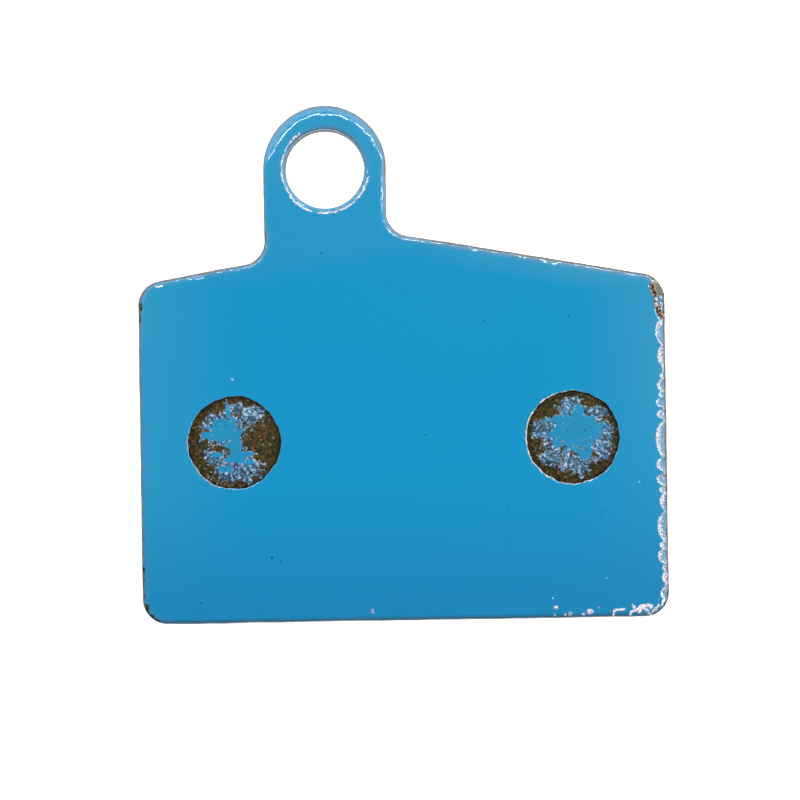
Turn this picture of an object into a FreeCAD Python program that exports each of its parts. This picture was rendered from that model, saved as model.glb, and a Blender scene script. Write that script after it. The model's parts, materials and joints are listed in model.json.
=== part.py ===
"""Disc brake pad: a stamped and coated steel backing plate with an offset eyelet tab, and a friction
block moulded onto its front face and keyed through two holes in the plate.

The pad lies on its friction face. X runs across the pad, Y points up through the tab, and Z points out
of the painted back of the plate. The origin is the middle of the friction face, below the line that
joins the two keying holes. Lengths are millimetres, angles degrees.
"""

import FreeCAD, Part
import math
import os

import Sketcher
from FreeCAD import Vector

# The driving dimensions: name, size and what it measures.
SIZES = (
    ("body_width", 30.0, "plate, side edge to side edge"),
    ("side_height", 19.35, "plate, bottom edge to the sharp shoulder corner"),
    ("shoulder_angle", 10.0, "fall of both shoulders towards the sides, degrees"),
    ("corner_radius", 1.4, "the four outer corners of the plate"),
    ("plate_thickness", 2.0, "coated steel sheet"),
    ("edge_roll", 0.35, "rounding that the punch leaves round the back face"),
    ("front_edge_break", 0.12, "rounding of the coat round the front face"),
    ("tab_offset", 4.25, "centre line of the plate to the middle of the tab"),
    ("tab_rise", 6.55, "sharp shoulder corner up to the middle of the tab's round end"),
    ("pin_drop", 0.1, "middle of the tab's round end down to the middle of the pin hole"),
    ("pin_hole_diameter", 4.5, "hole for the retaining pin"),
    ("pin_hole_roll", 0.25, "rounding of the pin hole at the back face"),
    ("eyelet_wall", 1.25, "metal between the pin hole and the sides of the tab"),
    ("neck_radius", 1.3, "inside corners where the tab meets the shoulders"),
    ("key_row_height", 10.3, "bottom edge to the line of the keying holes"),
    ("key_edge_distance", 5.35, "side edge to the middle of the nearer keying hole"),
    ("key_hole_diameter", 5.3, "holes that the friction block is keyed into"),
    ("key_hole_break", 0.08, "rounding of the keying holes at the back face"),
    ("friction_thickness", 2.0, "friction block in front of the plate"),
    ("friction_margin", 1.2, "bare rim of the plate round the friction block"),
    ("friction_corner_radius", 2.0, "lower and shoulder corners of the friction block"),
    ("friction_peak_radius", 6.0, "rounded top of the friction block"),
    ("friction_draft", 4.0, "mould draft of the block's sides, degrees"),
    ("rubbing_edge_chamfer", 0.25, "broken edge round the friction face"),
    ("plug_gap", 0.03, "shrinkage between a plug and its keying hole"),
    ("plug_recess", 0.12, "plug crown below the back face"),
    ("plug_rim_width", 0.7, "sloping rim round the crown of a plug"),
    ("plug_rim_drop", 0.2, "fall of that rim towards the hole's wall"),
)

# Formulas on the sheet that several sketches share.
TAB_UP = "sizes.side_height + sizes.tab_rise - sizes.key_row_height"
PIN_UP = TAB_UP + " - sizes.pin_drop"
TAB_RADIUS = "sizes.pin_hole_diameter / 2 + sizes.eyelet_wall"
KEY_ACROSS = "sizes.body_width / 2 - sizes.key_edge_distance"

TOLERANCE = 1e-4


def add_sizes(doc):
    """The sheet that holds the driving dimensions, one alias for each."""
    sheet = doc.addObject("Spreadsheet::Sheet", "sizes")
    for row, (alias, value, note) in enumerate(SIZES, start=1):
        sheet.set(f"A{row}", alias)
        sheet.set(f"B{row}", str(value))
        sheet.set(f"C{row}", note)
        sheet.setAlias(f"B{row}", alias)
    doc.recompute()
    return sheet


def add_body(doc, label):
    body = doc.addObject("PartDesign::Body", label)
    body.Label = label
    return body


def origin_plane(body, role):
    return next(item for item in body.Origin.OriginFeatures if item.Role == role)


def add_sketch(body, name, height):
    """A sketch parallel to the XY plane, at the height that a formula gives."""
    sketch = body.newObject("Sketcher::SketchObject", name)
    sketch.AttachmentSupport = (origin_plane(body, "XY_Plane"), [""])
    sketch.MapMode = "FlatFace"
    sketch.setExpression("AttachmentOffset.Base.z", height)
    return sketch


def add_line(sketch, start, end):
    return sketch.addGeometry(Part.LineSegment(Vector(*start, 0), Vector(*end, 0)), False)


def bind(sketch, name, formula, *constraint):
    """Adds a dimension to a sketch and ties it to a formula on the sheet."""
    index = sketch.addConstraint(Sketcher.Constraint(*constraint))
    sketch.renameConstraint(index, name)
    sketch.setExpression(f"Constraints.{name}", formula)


def join_ends(sketch, *lines):
    """Makes the end of each line meet the start of the next."""
    for first, second in zip(lines, lines[1:]):
        sketch.addConstraint(Sketcher.Constraint("Coincident", first, 2, second, 1))


def add_circle(sketch, x, y, diameter, x_formula, y_formula, diameter_formula):
    """A circle whose centre is bound to its distances from the sketch's origin."""
    centre = Vector(x, y, 0)
    circle = sketch.addGeometry(Part.Circle(centre, Vector(0, 0, 1), diameter / 2), False)
    bind(sketch, "diameter", diameter_formula, "Diameter", circle, diameter)
    bind(sketch, "across", x_formula, "DistanceX", circle, 3, x)
    if y_formula:
        bind(sketch, "up", y_formula, "DistanceY", circle, 3, y)
    else:
        sketch.addConstraint(Sketcher.Constraint("PointOnObject", circle, 3, -1))


def edge_names(feature, wanted):
    """Names of the edges of a feature's shape that a test accepts."""
    return [f"Edge{n}" for n, edge in enumerate(feature.Shape.Edges, start=1) if wanted(edge)]


def face_names(feature, wanted):
    """Names of the faces of a feature's shape that a test accepts."""
    return [f"Face{n}" for n, face in enumerate(feature.Shape.Faces, start=1) if wanted(face)]


def level(item, height):
    """Whether the whole of an edge or face lies at one height."""
    box = item.BoundBox
    return abs(box.ZMin - height) < TOLERANCE and abs(box.ZMax - height) < TOLERANCE


def rises(edge):
    """Whether the edge is a straight one that climbs through the sheet."""
    return edge.Curve.TypeId == "Part::GeomLine" and edge.BoundBox.ZLength > TOLERANCE


def near(edge, points, reach=TOLERANCE):
    """Whether the middle of an edge is within reach of one of the points, seen along Z."""
    middle = edge.BoundBox.Center
    return any(abs(middle.x - x) < reach and abs(middle.y - y) < reach for x, y in points)


def ring(edge, height, centres):
    """Whether the edge is a full circle at one height, round one of the centres."""
    return edge.isClosed() and level(edge, height) and near(edge, centres)


def add_pad(body, name, sketch, length, reverse=False):
    pad = body.newObject("PartDesign::Pad", name)
    pad.Profile = sketch
    pad.Reversed = reverse
    pad.setExpression("Length", length)
    return pad


def add_through_pocket(body, name, sketch):
    pocket = body.newObject("PartDesign::Pocket", name)
    pocket.Profile = sketch
    pocket.Type = "ThroughAll"
    pocket.Midplane = True
    return pocket


def add_fillet(body, name, base, edges, radius):
    fillet = body.newObject("PartDesign::Fillet", name)
    fillet.Base = (base, edges)
    fillet.setExpression("Radius", radius)
    return fillet


def add_mirror(body, name, *originals):
    """Repeats features on the other side of the pad's centre line."""
    mirror = body.newObject("PartDesign::Mirrored", name)
    mirror.Originals = list(originals)
    mirror.MirrorPlane = (origin_plane(body, "YZ_Plane"), [""])
    body.Tip = mirror
    return mirror


def tab_place(size):
    """Middle of the tab's round end."""
    return -size("tab_offset"), size("side_height") + size("tab_rise") - size("key_row_height")


def pin_place(size):
    """Middle of the pin hole, a little below the middle of the tab's round end."""
    tab_x, tab_y = tab_place(size)
    return tab_x, tab_y - size("pin_drop")


def key_place(size):
    """Middle of the keying hole on the right, on the row through the origin."""
    return size("body_width") / 2 - size("key_edge_distance"), 0


def plate_outline(body, size):
    """The stamped outline with sharp corners: a house shape with a round-topped tab on its roof."""
    half = size("body_width") / 2
    low = -size("key_row_height")
    shoulder = low + size("side_height")
    angle = math.radians(size("shoulder_angle"))
    fall = math.tan(angle)
    tab_x, tab_y = tab_place(size)
    tab_radius = size("pin_hole_diameter") / 2 + size("eyelet_wall")
    tab_left = tab_x - tab_radius
    tab_right = tab_x + tab_radius
    left_foot = (tab_left, shoulder + (half + tab_left) * fall)
    right_foot = (tab_right, shoulder + (half - tab_right) * fall)

    sketch = add_sketch(body, "plate_outline", "sizes.friction_thickness")
    bottom = add_line(sketch, (-half, low), (half, low))
    right = add_line(sketch, (half, low), (half, shoulder))
    right_shoulder = add_line(sketch, right_foot, (half, shoulder))
    tab_right_side = add_line(sketch, right_foot, (tab_right, tab_y))
    tab_circle = Part.Circle(Vector(tab_x, tab_y, 0), Vector(0, 0, 1), tab_radius)
    tab_arc = sketch.addGeometry(Part.ArcOfCircle(tab_circle, 0, math.pi), False)
    tab_left_side = add_line(sketch, (tab_left, tab_y), left_foot)
    left_shoulder = add_line(sketch, (-half, shoulder), left_foot)
    left = add_line(sketch, (-half, shoulder), (-half, low))

    for first, first_end, second, second_end in (
        (bottom, 2, right, 1),
        (right, 2, right_shoulder, 2),
        (right_shoulder, 1, tab_right_side, 1),
        (tab_left_side, 2, left_shoulder, 2),
        (left_shoulder, 1, left, 1),
        (left, 2, bottom, 1),
    ):
        sketch.addConstraint(Sketcher.Constraint("Coincident", first, first_end, second, second_end))
    sketch.addConstraint(Sketcher.Constraint("Tangent", tab_right_side, 2, tab_arc, 1))
    sketch.addConstraint(Sketcher.Constraint("Tangent", tab_arc, 2, tab_left_side, 1))
    for upright in (right, left, tab_right_side, tab_left_side):
        sketch.addConstraint(Sketcher.Constraint("Vertical", upright))
    sketch.addConstraint(Sketcher.Constraint("Symmetric", bottom, 1, bottom, 2, -2))
    sketch.addConstraint(Sketcher.Constraint("Equal", right, left))

    bind(sketch, "width", "sizes.body_width", "DistanceX", bottom, 1, bottom, 2, 2 * half)
    bind(sketch, "side", "sizes.side_height", "DistanceY", right, 1, right, 2, size("side_height"))
    bind(sketch, "drop", "-sizes.key_row_height", "DistanceY", bottom, 1, low)
    bind(sketch, "right_fall", "-sizes.shoulder_angle * 1 deg", "Angle", right_shoulder, -angle)
    bind(sketch, "left_fall", "sizes.shoulder_angle * 1 deg", "Angle", left_shoulder, angle)
    bind(sketch, "tab_radius", TAB_RADIUS, "Radius", tab_arc, tab_radius)
    bind(sketch, "tab_across", "-sizes.tab_offset", "DistanceX", tab_arc, 3, tab_x)
    bind(sketch, "tab_up", TAB_UP, "DistanceY", tab_arc, 3, tab_y)

    corners = ((-half, low), (half, low), (half, shoulder), (-half, shoulder))
    return sketch, corners, (left_foot, right_foot)


def make_backing_plate(doc, size):
    """Steel plate punched from sheet, its holes pierced and its edges softened by the coat."""
    body = add_body(doc, "backing_plate")
    front = size("friction_thickness")
    back = front + size("plate_thickness")
    sketch, corners, necks = plate_outline(body, size)
    blank = add_pad(body, "blank", sketch, "sizes.plate_thickness")
    doc.recompute()

    at_corners = edge_names(blank, lambda edge: rises(edge) and near(edge, corners))
    rounded = add_fillet(body, "corners", blank, at_corners, "sizes.corner_radius")
    doc.recompute()
    at_necks = edge_names(rounded, lambda edge: rises(edge) and near(edge, necks))
    necked = add_fillet(body, "necks", rounded, at_necks, "sizes.neck_radius")
    doc.recompute()
    rim = edge_names(necked, lambda edge: level(edge, back))
    rolled = add_fillet(body, "back_edge_roll", necked, rim, "sizes.edge_roll")
    doc.recompute()
    front_rim = edge_names(rolled, lambda edge: level(edge, front))
    broken = add_fillet(body, "front_edge_break", rolled, front_rim, "sizes.front_edge_break")
    doc.recompute()

    pin = pin_place(size)
    pin_sketch = add_sketch(body, "pin_hole_outline", "sizes.friction_thickness")
    add_circle(
        pin_sketch, *pin, size("pin_hole_diameter"),
        "-sizes.tab_offset", PIN_UP, "sizes.pin_hole_diameter",
    )
    pin_hole = add_through_pocket(body, "pin_hole", pin_sketch)
    doc.recompute()
    mouth = edge_names(pin_hole, lambda edge: ring(edge, back, (pin,)))
    add_fillet(body, "pin_hole_mouth", pin_hole, mouth, "sizes.pin_hole_roll")
    doc.recompute()

    key_x, key_y = key_place(size)
    key_sketch = add_sketch(body, "key_hole_outline", "sizes.friction_thickness")
    add_circle(
        key_sketch, key_x, key_y, size("key_hole_diameter"),
        KEY_ACROSS, None, "sizes.key_hole_diameter",
    )
    key_hole = add_through_pocket(body, "key_hole", key_sketch)
    pair = add_mirror(body, "key_holes", key_hole)
    doc.recompute()
    keys = ((key_x, key_y), (-key_x, key_y))
    mouths = edge_names(pair, lambda edge: ring(edge, back, keys))
    body.Tip = add_fillet(body, "key_hole_mouths", pair, mouths, "sizes.key_hole_break")
    doc.recompute()
    return body


def friction_outline(body, size):
    """The friction block's outline where it meets the plate: the plate's body less a bare rim."""
    angle = math.radians(size("shoulder_angle"))
    fall = math.tan(angle)
    margin = size("friction_margin")
    half = size("body_width") / 2 - margin
    low = -size("key_row_height") + margin
    side = size("side_height") - margin * (1 + 1 / math.cos(angle) - fall)
    peak = low + side + half * fall

    sketch = add_sketch(body, "friction_outline", "sizes.friction_thickness")
    bottom = add_line(sketch, (-half, low), (half, low))
    right = add_line(sketch, (half, low), (half, low + side))
    right_roof = add_line(sketch, (half, low + side), (0, peak))
    left_roof = add_line(sketch, (0, peak), (-half, low + side))
    left = add_line(sketch, (-half, low + side), (-half, low))
    join_ends(sketch, bottom, right, right_roof, left_roof, left, bottom)
    for upright in (right, left):
        sketch.addConstraint(Sketcher.Constraint("Vertical", upright))
    sketch.addConstraint(Sketcher.Constraint("Symmetric", bottom, 1, bottom, 2, -2))
    sketch.addConstraint(Sketcher.Constraint("PointOnObject", right_roof, 2, -2))
    sketch.addConstraint(Sketcher.Constraint("Equal", right, left))
    bind(
        sketch, "width", "sizes.body_width - 2 * sizes.friction_margin",
        "DistanceX", bottom, 1, bottom, 2, 2 * half,
    )
    bind(
        sketch, "drop", "sizes.friction_margin - sizes.key_row_height", "DistanceY", bottom, 1, low,
    )
    bind(
        sketch, "side",
        "sizes.side_height - sizes.friction_margin"
        " * (1 + 1 / cos(sizes.shoulder_angle * 1 deg) - tan(sizes.shoulder_angle * 1 deg))",
        "DistanceY", right, 1, right, 2, side,
    )
    bind(
        sketch, "roof_fall", "180 deg - sizes.shoulder_angle * 1 deg",
        "Angle", right_roof, math.pi - angle,
    )
    corners = ((-half, low), (half, low), (half, low + side), (-half, low + side))
    return sketch, corners, ((0, peak),)


def make_friction_pad(doc, size):
    """Friction compound pressed onto the plate, with a plug of it through each keying hole."""
    body = add_body(doc, "friction_pad")
    front = size("friction_thickness")
    sketch, corners, peak = friction_outline(body, size)
    block = add_pad(body, "block", sketch, "sizes.friction_thickness", reverse=True)
    doc.recompute()
    drafted = body.newObject("PartDesign::Draft", "mould_draft")
    drafted.Base = (block, face_names(block, lambda face: face.BoundBox.ZLength > TOLERANCE))
    drafted.NeutralPlane = (block, face_names(block, lambda face: level(face, front)))
    drafted.Reversed = True
    drafted.setExpression("Angle", "sizes.friction_draft * 1 deg")
    doc.recompute()

    reach = front * math.tan(math.radians(size("friction_draft"))) + TOLERANCE
    at_corners = edge_names(drafted, lambda edge: rises(edge) and near(edge, corners, reach))
    cornered = add_fillet(body, "block_corners", drafted, at_corners, "sizes.friction_corner_radius")
    doc.recompute()
    at_peak = edge_names(cornered, lambda edge: rises(edge) and near(edge, peak, reach))
    peaked = add_fillet(body, "block_peak", cornered, at_peak, "sizes.friction_peak_radius")
    doc.recompute()
    rubbing = body.newObject("PartDesign::Chamfer", "rubbing_edge")
    rubbing.Base = (peaked, edge_names(peaked, lambda edge: level(edge, 0)))
    rubbing.setExpression("Size", "sizes.rubbing_edge_chamfer")
    doc.recompute()

    plug_sketch = add_sketch(body, "plug_outline", "sizes.friction_thickness")
    add_circle(
        plug_sketch, *key_place(size), size("key_hole_diameter") - 2 * size("plug_gap"),
        KEY_ACROSS, None, "sizes.key_hole_diameter - 2 * sizes.plug_gap",
    )
    plug = add_pad(body, "plug", plug_sketch, "sizes.plate_thickness - sizes.plug_recess")
    pair = add_mirror(body, "plugs", plug)
    doc.recompute()
    crown = front + size("plate_thickness") - size("plug_recess")
    rims = body.newObject("PartDesign::Chamfer", "plug_rims")
    rims.Base = (pair, edge_names(pair, lambda edge: level(edge, crown)))
    rims.ChamferType = "Two distances"
    rims.setExpression("Size", "sizes.plug_rim_width")
    rims.setExpression("Size2", "sizes.plug_rim_drop")
    body.Tip = rims
    doc.recompute()
    return body


def check(doc, bodies):
    """Stops the build if anything in the document failed, or if a piece isn't one sound solid."""
    for item in doc.Objects:
        if "Invalid" in item.State or "Error" in item.State:
            raise RuntimeError(f"{item.Label} failed to build: {item.State}")
    for body in bodies:
        shape = body.Shape
        if shape.isNull() or not shape.isValid() or len(shape.Solids) != 1:
            raise RuntimeError(f"{body.Label} isn't one valid solid")


def main():
    doc = FreeCAD.newDocument("brake_pad")
    sheet = add_sizes(doc)
    bodies = [make_backing_plate(doc, sheet.get), make_friction_pad(doc, sheet.get)]
    check(doc, bodies)
    os.makedirs("parts", exist_ok=True)
    for body in bodies:
        body.Shape.exportStep(os.path.join("parts", f"{body.Label}.step"))
        box = body.Shape.BoundBox
        print(f"{body.Label}: {body.Shape.Volume:.2f} mm3, box {box}")


main()
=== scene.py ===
"""Disc brake pad seen from its coated back: the plate, the friction compound and the studio."""

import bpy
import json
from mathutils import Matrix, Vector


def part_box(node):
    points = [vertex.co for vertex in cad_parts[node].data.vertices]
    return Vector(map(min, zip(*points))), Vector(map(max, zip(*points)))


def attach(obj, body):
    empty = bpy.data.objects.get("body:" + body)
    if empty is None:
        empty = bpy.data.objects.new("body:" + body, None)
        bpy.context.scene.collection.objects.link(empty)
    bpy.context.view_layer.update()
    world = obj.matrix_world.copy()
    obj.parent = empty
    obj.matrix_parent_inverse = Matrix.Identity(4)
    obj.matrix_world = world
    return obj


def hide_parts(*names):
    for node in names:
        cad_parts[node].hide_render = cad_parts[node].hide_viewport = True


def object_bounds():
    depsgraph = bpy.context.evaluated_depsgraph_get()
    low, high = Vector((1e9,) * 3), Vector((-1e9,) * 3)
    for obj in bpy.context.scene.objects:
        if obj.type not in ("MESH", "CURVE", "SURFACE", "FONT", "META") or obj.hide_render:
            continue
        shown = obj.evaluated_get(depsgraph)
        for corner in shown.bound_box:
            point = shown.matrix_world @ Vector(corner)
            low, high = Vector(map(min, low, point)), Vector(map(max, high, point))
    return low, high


bl_info = {
    "name": "Disc Brake Pad",
    "version": (1, 0, 0),
    "blender": (4, 5, 0),
    "location": "View3D > Sidebar > Brake Pad",
    "description": "Builds a coated bicycle brake pad around its packed model, and a studio to see it in",
    "category": "Add Mesh",
}

import json
import math

import bmesh
import bpy
from bpy.props import FloatProperty, FloatVectorProperty, IntProperty, PointerProperty
from bpy.types import Operator, Panel, PropertyGroup
from mathutils import Matrix, Vector, noise

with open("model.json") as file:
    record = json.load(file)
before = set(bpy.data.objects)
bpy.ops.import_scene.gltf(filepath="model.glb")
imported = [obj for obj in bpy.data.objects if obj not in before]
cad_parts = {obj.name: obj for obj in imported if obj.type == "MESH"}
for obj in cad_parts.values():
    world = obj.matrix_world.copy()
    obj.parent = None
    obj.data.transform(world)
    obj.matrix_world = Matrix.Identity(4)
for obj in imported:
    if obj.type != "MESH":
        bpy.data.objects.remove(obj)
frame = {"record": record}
CAD_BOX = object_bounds()
BODY = "root"
MM = 0.001

PLATE_LOW, PLATE_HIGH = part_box("backing_plate")
PAD_LOW, PAD_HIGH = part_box("friction_pad")
PIN_HOLE = next(mount for mount in frame["record"]["mounts"] if mount["name"] == "pin_hole")
PIN = Vector(PIN_HOLE["pos_m"][:2])
PIN_RADIUS = PIN_HOLE["dims"]["r_mm"] * MM

# Noted as the distance from an edge where none is near, and a length too short to see.
FAR = 9 * MM
TINY = 1e-7
# Normals that rise less than this belong to a side wall, which has this many rows of mesh.
WALL_TILT = 0.3
WALL_ROWS = 8
# Spacing of the mesh along the friction block, and a plug's steps round it and rings on flat, rim and wall.
BLOCK_STEP = 0.2 * MM
PLUG_STEPS = 320
PLUG_RINGS = (38, 14, 6)
# What the vertices of the plate and of the plugs note for their materials.
PLATE_LAYERS = ("rim", "calm", "bare", "speck", "glint_paint")
PLUG_LAYERS = ("film", "coat", "strand")

# Blemishes of the coat, in millimetres on the back face: where each is and how large.
DARK_SPECKS = (
    (4.7, 6.7, 0.06), (9.5, 6.9, 0.07), (1.26, 0.26, 0.06), (2.4, -0.5, 0.05), (5.9, -3.9, 0.05),
    (11.2, -4.3, 0.06), (6.0, -5.6, 0.05), (-7.6, -6.6, 0.1), (-7.1, -6.8, 0.06), (-1.5, -6.3, 0.05),
    (-13.4, -7.3, 0.05), (-14.1, -7.8, 0.05), (-11.7, -9.1, 0.07), (-4.5, 10.7, 0.07), (-4.5, 8.9, 0.05),
)
# The pale specks are tiny domes, coloured as pale nicks with painted glints on them.
PALE_SPECKS = ((13.38, -2.62, 0.07), (11.41, -8.08, 0.06), (-9.71, 3.58, 0.09), (8.35, -9.16, 0.07))
# Rings of mesh along a rolled edge, in millimetres in from it.
EDGE_RINGS = (
    0.004, 0.02, 0.045, 0.075, 0.11, 0.15, 0.19, 0.23, 0.275, 0.32, 0.365, 0.41, 0.455, 0.50, 0.55,
    0.60, 0.66, 0.72, 0.79,
)
# The right edge slopes off in scallops, in millimetres: middle, half length and how far in they reach.
RIGHT_SLOPE = 0.045
RIGHT_SCALLOPS = (
    (5.92, 0.74, 0.42), (4.55, 0.57, 0.30), (3.43, 0.20, 0.20), (2.84, 0.36, 0.38), (2.35, 0.15, 0.30),
    (1.89, 0.26, 0.45), (1.21, 0.26, 0.40), (-0.22, 1.00, 0.48), (-1.62, 0.40, 0.48), (-2.50, 0.31, 0.48),
    (-3.08, 0.20, 0.33), (-3.76, 0.48, 0.30), (-5.16, 0.80, 0.46), (-6.24, 0.23, 0.36), (-6.87, 0.43, 0.48),
    (-7.53, 0.20, 0.25), (-8.07, 0.34, 0.25), (-8.98, 0.37, 0.35),
)
# Rough lumps in the coat: place, reach across and up, and height.
ROUGH_SPOTS = (
    (14.75, 5.9, 0.5, 0.9, 0.008), (14.8, 4.5, 0.4, 0.7, 0.007), (14.7, -6.85, 0.5, 0.5, 0.015),
    (13.3, -9.75, 0.9, 0.7, 0.012), (14.3, -9.5, 0.7, 0.7, 0.012), (14.5, 7.8, 0.7, 1.4, 0.02),
    (14.7, -5.2, 0.4, 0.9, 0.008), (14.7, -2.4, 0.4, 0.9, 0.006), (14.75, 2.6, 0.4, 0.7, 0.006),
    (-1.85, 14.75, 0.35, 0.55, 0.012),
)
# Ridges where the coat has run together, with painted glints along them: how pale each is, and the points
# that it follows.
RIDGES = (
    (1.0, (11.80, -10.17), (11.83, -9.94), (11.92, -9.90), (12.38, -9.86)),
    (1.0, (12.73, -10.15), (12.78, -10.03), (12.94, -9.96), (13.09, -9.91), (13.26, -9.80)),
    (0.8, (12.88, -9.58), (12.88, -9.66), (12.97, -9.73), (12.94, -9.84)),
    (1.0, (13.26, -9.76), (13.38, -9.61), (13.62, -9.60), (13.86, -9.53)),
    (1.0, (13.33, -9.92), (13.43, -9.73), (13.67, -9.68), (13.95, -9.69)),
    (0.8, (13.30, -10.06), (13.36, -9.82)),
    (0.9, (14.00, -10.03), (14.24, -9.81), (14.34, -9.70)),
    (0.6, (13.76, -10.02), (13.85, -10.21), (13.94, -10.12)),
    (0.45, (-1.93, -9.52), (-1.92, -9.86)),
)
# Lumps near an edge with painted glints on them: place, radius and how pale.
PALE_LUMPS = (
    (8.51, -9.67, 0.12, 0.9), (8.43, -10.12, 0.06, 0.4), (9.02, -10.13, 0.07, 0.5),
    (9.32, -10.06, 0.09, 0.8), (10.07, -10.12, 0.10, 0.7), (10.43, -9.96, 0.14, 0.95),
    (10.98, -9.70, 0.08, 0.35), (14.52, 7.75, 0.09, 1.2), (14.52, 7.52, 0.07, 1.1),
    (14.54, 7.40, 0.07, 1.0), (14.31, 8.79, 0.10, 0.9), (13.48, -9.78, 0.11, 0.8),
    (13.76, -9.60, 0.11, 0.9), (13.18, -9.97, 0.10, 0.7), (13.62, -9.93, 0.09, 0.7),
    (13.92, -9.78, 0.09, 0.8),
)
# Beaded glints round the holes: middle, reach, gap from the edge, first and last angle, and how pale.
PALE_ARCS = (
    (9.65, 0.0, 3.0, 0.03, 108, 218, 0.9), (9.65, 0.0, 3.0, 0.03, 218, 300, 0.7),
    (9.65, 0.0, 3.0, 0.03, 70, 108, 0.5), (-9.65, 0.0, 3.0, 0.03, 175, 265, 0.42),
    (-4.25, 15.5, 2.8, 0.20, 125, 225, 0.8), (-4.25, 15.5, 2.8, 0.28, 225, 350, 0.85),
)
# How wide the ridges and the glints are, and how far the coat covers a hole's edge.
RIDGE_WIDTH = 0.055
GLINT_WIDTH = 0.055
HOLE_COVER = 0.05
# Where the coat has gone: place, and reach across and up.
BARE_SPOTS = (
    (14.42, 8.38, 0.28, 0.50), (14.70, 8.44, 0.30, 0.50), (14.52, 7.58, 0.13, 0.40),
    (14.63, 7.12, 0.12, 0.35), (14.79, 6.89, 0.25, 0.22), (-14.80, -9.32, 0.18, 0.22),
    (-14.78, -9.62, 0.18, 0.18), (-14.54, -9.88, 0.20, 0.16), (-14.24, -10.10, 0.20, 0.14),
    (-14.96, -7.20, 0.12, 0.20), (-14.97, -7.76, 0.10, 0.12), (-14.98, -8.08, 0.10, 0.12),
    (-14.92, -8.66, 0.10, 0.12), (-14.95, 7.20, 0.12, 0.34), (-14.84, 7.75, 0.12, 0.22),
    (14.99, -9.10, 0.10, 0.24), (14.90, -9.56, 0.14, 0.18), (14.69, -9.92, 0.15, 0.15),
    (14.36, -10.15, 0.18, 0.11),
)
# Coat on the two plugs, in millimetres from a plug's middle: smooth film, torn film and bare gaps.
FILM = {
    -1: (
        (-0.51, 0.69, 0.95, 0.66), (-0.34, 1.77, 0.15, 0.36), (-1.53, 0.44, 0.28, 0.24),
        (0.06, -0.26, 0.41, 0.51), (0.30, -0.85, 0.60, 0.36), (-1.05, -0.72, 0.36, 0.18),
        (-0.57, -1.50, 0.34, 0.20), (-0.25, -1.00, 0.34, 0.16), (0.85, -1.10, 0.26, 0.18),
    ),
    1: ((0.13, 0.36, 1.45, 1.12), (0.35, 1.42, 0.30, 0.34), (0.63, -0.95, 0.36, 0.36)),
}
TORN = {
    -1: (
        (1.00, 1.50, 0.75, 0.50), (0.15, -1.60, 1.60, 0.85), (-1.25, -0.80, 0.60, 0.55),
        (-1.20, 1.20, 0.50, 0.50), (0.20, 1.90, 0.50, 0.40),
    ),
    1: (
        (-1.74, 0.41, 0.63, 0.70), (-1.20, -1.17, 0.82, 0.57), (0.25, -1.49, 0.95, 0.70),
        (1.65, -0.73, 0.70, 0.63), (1.90, 0.35, 0.51, 0.70), (1.49, 1.43, 0.57, 0.35),
        (-0.06, 1.81, 0.89, 0.51),
    ),
}
GAPS = {
    -1: ((1.58, 0.06, 1.08, 0.82), (-0.83, -0.32, 0.50, 0.19)),
    1: ((-1.59, 1.68, 0.82, 0.57), (1.08, 2.00, 0.57, 0.29)),
}


def linear(channel):
    """A display channel of 0 to 255 as a linear value of 0 to 1."""
    share = channel / 255
    return share / 12.92 if share <= 0.04045 else ((share + 0.055) / 1.055) ** 2.4


def length(name, description, millimetres):
    return FloatProperty(
        name=name, description=description, default=millimetres * MM, precision=5,
        unit="LENGTH", subtype="DISTANCE",
    )


def angle(name, description, degrees):
    return FloatProperty(
        name=name, description=description, default=math.radians(degrees), unit="ROTATION", subtype="ANGLE",
    )


def colour(name, description, red, green, blue):
    """A colour property, from the display colour that it is known by."""
    return FloatVectorProperty(
        name=name, description=description, size=3, min=0.0, max=1.0, subtype="COLOR",
        default=(linear(red), linear(green), linear(blue)),
    )


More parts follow.
